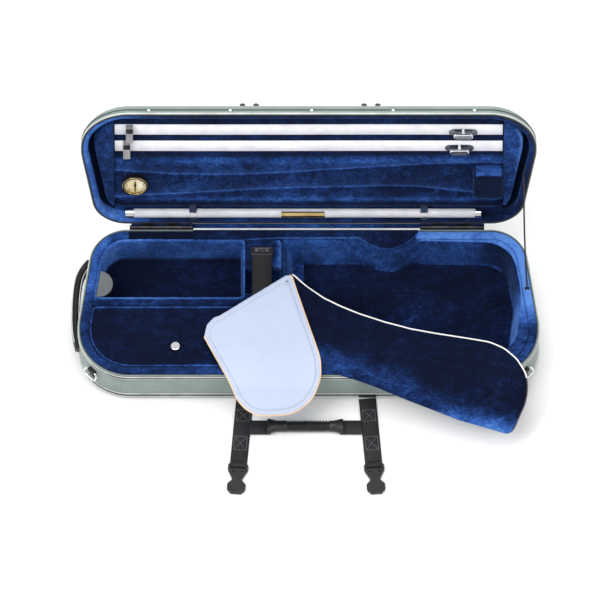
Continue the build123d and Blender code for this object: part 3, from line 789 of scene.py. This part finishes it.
def hinge_cloth():
    inner = [(143.2, 82.0), (146.4, 83.3), (149.2, 85.0), (150.8, 87.6), (151.2, 90.4), (150.8, 93.4),
             (150.3, 95.8), (149.9, 97.6)]
    gusset("hinge_gusset_velvet", inner, VELVET, 0.16)
    outer = [(y + 0.55, z - 0.3) for y, z in inner]
    gusset("hinge_gusset_canvas", outer, DARK_CANVAS, 0.0)
    front = [(-201, 122), (-112, 122), (-98, 123.6), (-60, 125.6), (90, 126), (98, 120), (106, 113.2),
             (122, 107), (139, 104.4), (156, 108.4), (173, 118.4), (186, 129), (190, 137)]
    xs = np.linspace(-201, 190, 260)
    edge = np.mean([np.interp(xs + shift, *np.array(front).T) for shift in (-5, -2.5, 0, 2.5, 5)], axis=0)
    loops = []
    for x, y0 in zip(xs, edge):
        ys = y0 + (141.5 - y0) * np.linspace(0.03, 1, 16)
        top = [(y, 86.4 + 2.2 * step(y, 122.5, 127.5) - 0.7 * step(y, 138, 141.5)) for y in ys]
        line = [(y0 + 0.4, 84.9), (y0, 85.8)] + top + [(y, z - 1.0) for y, z in reversed(top)]
        loops.append(np.array([(x, y, z) for y, z in line]))
    mesh = lofted(loops, cap_high=1)
    # painted highlight along the rear flap's front edge
    bright = lambda p, n: -0.12 + 0.6 * peak(p.y - np.interp(p.x, xs, edge), 1.0)
    plush("rear_flap_velvet", mesh, bright, sharp=80)


# ---- straps
STRAP_LEAN = atan2(11.0, STRAP_LENGTH)


def stitched(line):
    """Short stitches along a line of points."""
    threads = []
    for p, q in zip(line, line[1:]):
        count = int(norm(q - p) / 2.6)
        for k in range(count):
            a, b = p + (q - p) * k / count, p + (q - p) * (k + 0.72) / count
            threads.append(tube_mesh([a, (a + b) / 2 + (0, 0, 0.25), b], 0.36, sides=5))
    return threads


def carrying_straps():
    webs, threads = [], []
    for side, x in ((-1, -111), (1, 102)):
        lean = side * STRAP_LEAN
        across = (cos(lean), sin(lean), 0)
        along = (sin(lean), -cos(lean))
        path = [(x + along[0] * d, STRAP_ROOT_Y + along[1] * d, 1.7 + 0.25 * sin(d / 17 + side))
                for d in np.linspace(0, STRAP_LENGTH, 60)]
        webs.append(softened_strip(path, STRAP_WIDTH, 2.4, across))
        for near, far in ((22, 44), (74, 100)):
            crossed_box = [(-11, near), (11, near), (11, far), (-11, far), (-11, near), (11, far), (11, near),
                           (-11, far)]
            threads += stitched([np.array((x, STRAP_ROOT_Y, 3.15)) + np.array(
                (across[0] * a + along[0] * d, across[1] * a + along[1] * d, 0)) for a, d in crossed_box])
        wrap = [(-7, 3.0), (-4, 4.2), (-1, 6.4), (1.5, 7.3), (4.2, 7.3), (6.2, 5.9), (6.9, 3.4), (6.6, 1.4)]
        knots = [(x + along[0] * (STRAP_LENGTH + d), STRAP_ROOT_Y + along[1] * (STRAP_LENGTH + d), z)
                 for d, z in wrap]
        path = [tuple(p) for p in relaxed_line(np.array(knots), 40)]
        name = "buckle_left" if side < 0 else "buckle_right"
        add(name + "_webbing", softened_strip(path, 25.4, 1.7, across), WEBBING, name)
    add("carry_webbing", webs, WEBBING, "carry_handle", "carry_straps")
    tabs = [softened_strip([(x, GRIP_Y, 4.1) for x in np.linspace(a, b, 14)], 27, 2.2, (0, 1, 0))
            for a, b in ((-104, -66), (54, 92))]
    add("grip_webbing", tabs, WEBBING, "carry_handle", "grip_tabs")
    add("strap_stitching", threads, THREAD, "carry_handle")
    grip()


def grip():
    """The moulded grip: ribbed round its middle, and flared and flattened at its ends."""
    sides = 44
    angles = np.arange(sides) * tau / sides
    loops = []
    for x in np.linspace(-72, 60, 330):
        t = (x + 6) / 66
        flare = step(abs(t), 0.72, 0.99)
        wide, tall = 9.6 + 1.0 * (1 - t * t) + 4.6 * flare, 8.8 + 0.8 * (1 - t * t) - 2.2 * flare
        rib = 1.05 * (1 - cos((x + 1) * tau / 5.3)) * min(1.0, max(0.0, (40 - abs(x + 1)) / 4))
        if abs(t) > 0.985:
            wide, tall = wide * 0.93, tall * 0.85
        loops.append(np.stack([np.full(sides, x), GRIP_Y + (wide - rib) * np.cos(angles),
                               np.maximum(9.3 + (tall - rib) * np.sin(angles), 0.7)], 1))
    mesh = lofted(loops, cap_high=1)
    add("carry_grip_rubber", mesh, RUBBER, "carry_handle", "carry_grip", sharp=70)


def side_handle():
    """A padded handle, piped along its edges, that stands out from the left end in the middle."""
    knots = np.array([(-382.5, 95), (-388, 88), (-396, 77), (-402.5, 60), (-406.2, 30), (-407.4, 0),
                      (-407.2, -30), (-405.3, -54), (-400.8, -71)])
    line = relaxed_line(knots, 90)
    body = softened_strip([(x + 1.6, y, 50.0) for x, y in line], 24, 14.6, (0, 0, 1))
    body = ruffled(body, 0.3, 14, 8)
    add("side_handle_padded", body, PLASTIC, "base", "side_handle", 180)
    way = np.gradient(line, axis=0)
    out = np.stack([-way[:, 1], way[:, 0]], 1) / norm(way, axis=1)[:, None]
    edges = []
    for side in (-4.6, 7.6):
        edge = [(x + side * a, y + side * b, 61.2) for (x, y), (a, b) in zip(line[4:-4], out[4:-4])]
        edges.append(tube_mesh(edge, 0.9))
    add("side_handle_piping", edges, SILVER, "base")


# ---- blanket
def blanket_height(x, y):
    """How high the blanket lies: over the case, then sloping down past its front edge, with soft waves."""
    beyond = y - BLANKET_EDGE_Y
    fall = 0.0 if beyond > 0 else BLANKET_SLOPE * beyond * min(1.0, -beyond / 30)
    return fall + 0.5 * noise.noise(Vector((x / 70, y / 70, 3.3)))


def blanket_layer(name, corners, radii, low, thick, material, margin, seed):
    """One padded layer: margin gives its face near the edge, as (inset, part of the thickness)."""
    outline = evenly(rounded(corners, radii, 1.5), 760)
    edge = [(3.5, low), (0.8, low + 0.5), (0, low + 1.6), (0.2, low + thick * 0.62),
            (1.3, low + thick * 0.82), (2.6, low + thick * 0.86)]
    loops = stacked(outline, edge + [(i, low + thick * z) for i, z in margin])
    loops.append(at_height(outline + (outline.mean(axis=0) - outline) * 0.16, low + thick * 0.99))
    mesh = lofted(loops, cap_high=18)
    for v in mesh.vertices:
        x, y, z = v.co
        v.co.z += blanket_height(x, y) - 0.45 + 0.35 * noise.noise(Vector((x / 24, y / 24, seed)))
    mesh.update()
    return outline, add(name, mesh, material, "blanket")


def along_edge(outline, start, end, inset, z):
    """A stretch of an outline between the points nearest two places."""
    first, last = (int(np.argmin(np.hypot(*(outline - np.array(p)).T))) for p in (start, end))
    index = [i % len(outline) for i in range(first, last if last > first else last + len(outline))]
    line = moved_in(outline, inset)[index]
    return [(x, y, z + blanket_height(x, y)) for x, y in line]


def blanket():
    flat_edge = [(5, 0.84), (8, 0.9), (14, 0.95)]
    outline, velvet_side = blanket_layer("blanket_velvet_side", VELVET_SIDE, VELVET_RADII, 89.5, 5.0,
                                         BLANKET_VELVET, flat_edge, 9)
    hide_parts("blanket")
    # painted highlights on the blanket's velvet: a band across its right part and along its front edge
    tone_and_painted_light(velvet_side, lambda p, n: 0.34 * peak(p.y + 0.42 * p.x + 100, 30) * (p.x > 0)
        + 0.5 * max(0, min(1, (-p.y - 195) / 40)) - 0.1)
    seam = [(5, 0.86), (7.6, 0.92), (8.6, 0.76), (9.6, 0.93), (12.5, 0.98)]
    satin_outline, satin = blanket_layer("blanket_satin_side", SATIN_SIDE, SATIN_RADII, 94.8, 4.7,
                                         SATIN, seam, 10)
    pieces = [velvet_side, satin]
    for name, edge, start, end, inset, z, radius, material in (
            ("blanket_piping_white", outline, (-29, 54), (384, -150), 0.4, 93.2, 1.35, WHITE_PIPING),
            ("blanket_piping_dark", outline, (384, -150), (352, -241), 0.4, 93.2, 1.1, DARK_PIPING),
            ("blanket_piping_tan", satin_outline, (-31, 54), (-182, -72), 0.2, 97.9, 1.15, TAN_PIPING)):
        mesh = tube_mesh(along_edge(edge, start, end, inset, z), radius)
        pieces.append(add(name, mesh, material, "blanket"))
    stitches = []
    line = np.array(along_edge(satin_outline, (-31, 54), (-182, -72), 8.6, 98.9))
    distance = run(line)
    for start in np.arange(3, distance[-1] - 4, 3.4):
        ends = [np.array([np.interp(s, distance, line[:, k]) for k in range(3)])
                for s in (start, start + 1.2, start + 2.4)]
        stitches.append(tube_mesh(ends, 0.3, sides=5))
    pieces.append(add("blanket_stitching", stitches, SATIN, "blanket"))
    for piece in pieces:
        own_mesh(piece)


# ---- lid
def turned_in(verts):
    """From (x, distance from the hinge, depth into the lid) to the shut lid's own place."""
    verts = np.asarray(verts, float)
    return np.stack([verts[:, 0], HINGE_Y - verts[:, 1], HINGE_Z + verts[:, 2]], 1)


def lid_shell():
    inside = [(60, 125.5), (33, 125.5), (18.6, 121), (11, 110), (10, 102), (10, 90), (8, 89.5)]
    outside = [(5, 89.6), (4.7, 91), (4.9, 94.5)]
    for a in (0.08, 0.16, 0.2, 0.22, 0.24, 0.3, 0.45, 0.6, 0.75, 0.9, 1.05, 1.2, 1.35, pi / 2):
        welt = 0.7 * (abs(a - 0.22) < 0.02)
        outside.append((5 + 36 * (1 - cos(a)) + welt, 94.5 + 36 * sin(a)))
    mesh = lofted(stacked(CASE, inside + outside), cap_low=6, cap_high=10, crown=0.4)
    add("lid_canvas", mesh, CANVAS, "lid", "lid_shell")
    liner = [(8.2, 89.7), (8.6, 89.2), (11, 89), (14.4, 89.3), (16.4, 90.6), (17.2, 94), (16, 106),
             (13.9, 114), (10.3, 110), (10.3, 90.2)]
    mesh = ruffled(hoop(liner), 0.3, 20, 11)

    # painted highlights on the lid rim liner: at its left end and on a band of its middle
    def bright(p, n):
        return -0.06 + 0.5 * step(-p.x, 250, 345) + 0.2 * step(-p.z, -115, -92) * step(-p.x, -100, 100)
    plush("lid_rim_velvet", mesh, bright, "lid_rim_liner", "lid")


# ---- the lid's padded panel
PANEL_HALF, PANEL_BACK = 338, 26.5
SEAMS = {
    "bay": ([-340, 0, 340], [152.5, 154, 159]),
    "upper": ([-340, -300, -250, -155, -60, 57, 178, 269, 340],
              [122, 117, 112, 109, 113.5, 124.5, 135, 140.5, 139.5]),
    "lower": ([-340, -283, -200, -120, -30, 58, 148, 210, 285, 340],
              [52, 59, 64, 70.5, 77, 79, 82.5, 78, 65, 55]),
}


def seam_at(name, x):
    """A seam's distance from the hinge, smoothed along the lid."""
    xs, vs = SEAMS[name]
    smooth = 0.0
    for shift in (-30, -15, 0, 15, 30):
        smooth += np.interp(x + shift, xs, vs) / 5
    return smooth


def panel_face(x, v):
    """Depth of the padded panel: flat under the bows, puffed between its seams below."""
    bay, upper, lower = (seam_at(name, x) for name in ("bay", "upper", "lower"))
    if v > bay:
        return PANEL_DEPTH + 0.9 * peak(v - bay, 2.2)
    nearest = min(abs(v - e) for e in (bay, upper, lower))
    puff = 4.4 * (1 - exp(-(nearest / 9.0) ** 1.1)) if v > 40 else 4.4 * peak(40 - v, 9)
    crease = 1.3 * peak(nearest, 2.3)
    side = min(1.0, (PANEL_HALF - abs(x)) / 14)
    wave = 0.7 * noise.noise(Vector((x / 55, v / 30, 5.1)))
    return PANEL_DEPTH - (puff + wave * (nearest > 3)) * max(0.0, side) + crease


def lid_panel():
    outline = case_at(13.9)
    xs = np.concatenate((np.linspace(-PANEL_HALF, -300, 30), np.linspace(-296, 296, 220),
                         np.linspace(300, PANEL_HALF, 30)))
    rows = 230
    face, back, faces = [], [], []
    for x in xs:
        side = outline[np.abs(outline[:, 0] - x) < 3.0]
        near, far = HINGE_Y - side[:, 1].max(), HINGE_Y - side[:, 1].min()
        for k in range(rows):
            v = near + (far - near) * k / (rows - 1)
            face.append((x, v, panel_face(x, v)))
            back.append((x, v, PANEL_BACK))
    verts, columns, half = face + back, len(xs), len(face)
    at = lambda i, k: i * rows + k
    for i in range(columns - 1):
        for k in range(rows - 1):
            square = (at(i, k), at(i + 1, k), at(i + 1, k + 1), at(i, k + 1))
            faces += [square, tuple(half + square[c] for c in (0, 3, 2, 1))]
    rim = [(at(i, k), at(i + 1, k)) for i in range(columns - 1) for k in (0, rows - 1)]
    rim += [(at(i, k), at(i, k + 1)) for k in range(rows - 1) for i in (0, columns - 1)]
    faces += [(a, b, half + b, half + a) for a, b in rim]
    mesh = mesh_of(turned_in(verts), faces)
    shut = LID_TURN.inverted()

    # painted light on the lid panel: painted highlights just above its seams, along the bay and near 52 mm;
    # painted shade just below its seams, near 40 mm and under the bows
    def bright(p, n):
        q = shut @ p
        x, v = q.x, HINGE_Y - q.y
        if v > seam_at("bay", x):
            return -0.12
        value = 0.06
        for name, reach in (("upper", 13), ("lower", 11)):
            above = v - seam_at(name, x)
            value += 0.26 * exp(-above / reach) if above > 0 else -0.1 * exp(above / 6)
            value += 0.4 * peak(above, 1.7)
        value += 0.16 * peak(v - seam_at("bay", x) + 8, 7)
        return value + 0.22 * peak(v - 52, 6) - 0.3 * peak(v - 40, 7)
    plush("lid_panel_velvet", mesh, bright, "lid_panel", "lid", 60)


def lid_fittings():
    pads = []
    profile = [(0.5, 121), (0, 118), (0, 105), (0.8, 102.6), (2.6, 101), (5, 100.3)]
    for side in (-1, 1):
        outline = relaxed(clipped(case_at(28), 0, side * 338.6, side), 300, 6)
        mesh = lofted(stacked(outline, profile), cap_high=5, crown=-0.5)
        pads.append(ruffled(mesh, 0.4, 24, 12 + side))
    # painted highlights on the right end pad and on its end faces
    bright = lambda p, n: (0.1 + 0.1 * (p.x > 0)
                           + 0.45 * step(p.x, 352, 368) * (p.x > 0) * step(abs(n.x), 0.05, 0.4))
    plush("lid_end_pads_velvet", pads, bright, "lid_end_pads", "lid")
    gutter = [(10.4, 105), (12.4, 107), (15.5, 112.5), (20, 117.5), (28, 121.3), (50, 122.4), (50, 125.2),
              (33, 125.2), (19, 121.6), (11.2, 111)]
    plush("lid_gutter_velvet", hoop(gutter), lambda p, n: -0.25, body="lid")
    guards = []
    for near, far in ((212.6, 238.0), (171.5, 197.0)):
        xs = np.linspace(-336.5, 336.5, 120)
        path = [(x, HINGE_Y - (near + far) / 2, PANEL_Z - 1.1 + 0.25 * sin(x / 90)) for x in xs]
        guards.append(softened_strip(path, far - near, 1.7, (0, 1, 0)))
    add("bow_guard_strips", guards, GUARD, "lid", "bow_guards")
    block = evenly(rounded([(285.4, 9.8), (340.6, 9.8), (340.6, 72.2), (285.4, 72.2)], [11] * 4), 240)
    profile = [(0.5, 110), (0, 108), (0.2, 96), (0.6, 88), (1.6, 85.2), (4, 83.5), (7.5, 82.9)]
    mesh = ruffled(lofted(stacked(block, profile), cap_high=6, crown=-0.9), 0.5, 24, 15)
    # painted highlight on the pillow's top and painted shade on its faces turned to -y
    bright = lambda p, n: -0.14 + 0.55 * max(0, n.z) * (n.z > 0.75) - 0.1 * max(0, -n.y)
    plush("pillow_velvet", mesh, bright, "pillow_box", "lid")
    marks = []
    middle = np.array((HYGROMETER_X, HINGE_Y - HYGROMETER_FROM_HINGE, PANEL_Z - 11.8 + 3.4))
    for k in range(24):
        angle = k * tau / 24
        d = np.array((cos(angle), sin(angle), 0))
        start, radius = (14.2, 0.35) if k % 3 else (12.6, 0.6)
        marks.append(tube_mesh([middle + d * start, middle + d * 17], radius, sides=5))
    add("hygrometer_marks", marks, PLASTIC, "lid")
    tube_y, tube_z = HINGE_Y - TUBE_FROM_HINGE, HINGE_Z + TUBE_DEPTH
    for name, low, high, material in (("tube_label", 222, 318, BRASS),
                                      ("tube_label_edges", 204, 222, PLASTIC),
                                      ("tube_label_foot", 318, 338, PLASTIC)):
        angles = np.linspace(radians(low), radians(high), 10)
        verts, faces, n = [], [], len(angles)
        for x in (-47.5, 28.0):
            for r in (8.06, 8.4):
                verts += [(x, tube_y + r * cos(a), tube_z + r * sin(a)) for a in angles]
        for k in range(n - 1):
            faces += [(k, k + 1, 2 * n + k + 1, 2 * n + k), (n + k, n + k + 1, 3 * n + k + 1, 3 * n + k),
                      (k, k + 1, n + k + 1, n + k), (2 * n + k, 2 * n + k + 1, 3 * n + k + 1, 3 * n + k)]
        faces += [(0, n, 3 * n, 2 * n), (n - 1, 2 * n - 1, 4 * n - 1, 3 * n - 1)]
        add(name, mesh_of(verts, faces), material, "string_tube")
    tops = []
    for x, far in ((-311, 238.4), (-316, 198.4)):
        path = [(x, HINGE_Y - v, PANEL_Z - 14.4 + (0 if v > far - 9 else 0.1))
                for v in np.linspace(far, far - 9.5, 8)]
        tops.append(softened_strip(path, 12.4, 1.5, (1, 0, 0)))
    add("loop_ends", tops, PLASTIC, "lid")
    welt = tube_mesh(at_height(case_at(5.0), 100.6), 0.75, closed=True)
    add("lid_welt", welt, BINDING, "lid")
    parts = []
    for centre in (-103, 108):
        for offset, width, start, end, low, high in (
                (0, 36, 209, 255, 0.3, 3.4), (-11.8, 9.5, 212, 258, 2.6, 10.6),
                (11.8, 9.5, 212, 258, 2.6, 10.6), (0, 30, 209, 224, 2.6, 9.6)):
            z = LID_TOP_Z + (low + high) / 2
            dip = 0.9 if offset else 0
            path = [(centre + offset, HINGE_Y - v, z - dip * step(v, 236, 222))
                    for v in np.linspace(start, end, 24)]
            parts.append(softened_strip(path, width, high - low, (1, 0, 0)))
    add("female_buckles", parts, PLASTIC, "lid", "buckle_sockets")


stage()
stay_cord()
base()
compartments()
cradle()
pocket()
hardware()
hinge_cloth()
carrying_straps()
side_handle()
blanket()
lid_shell()
lid_panel()
lid_fittings()
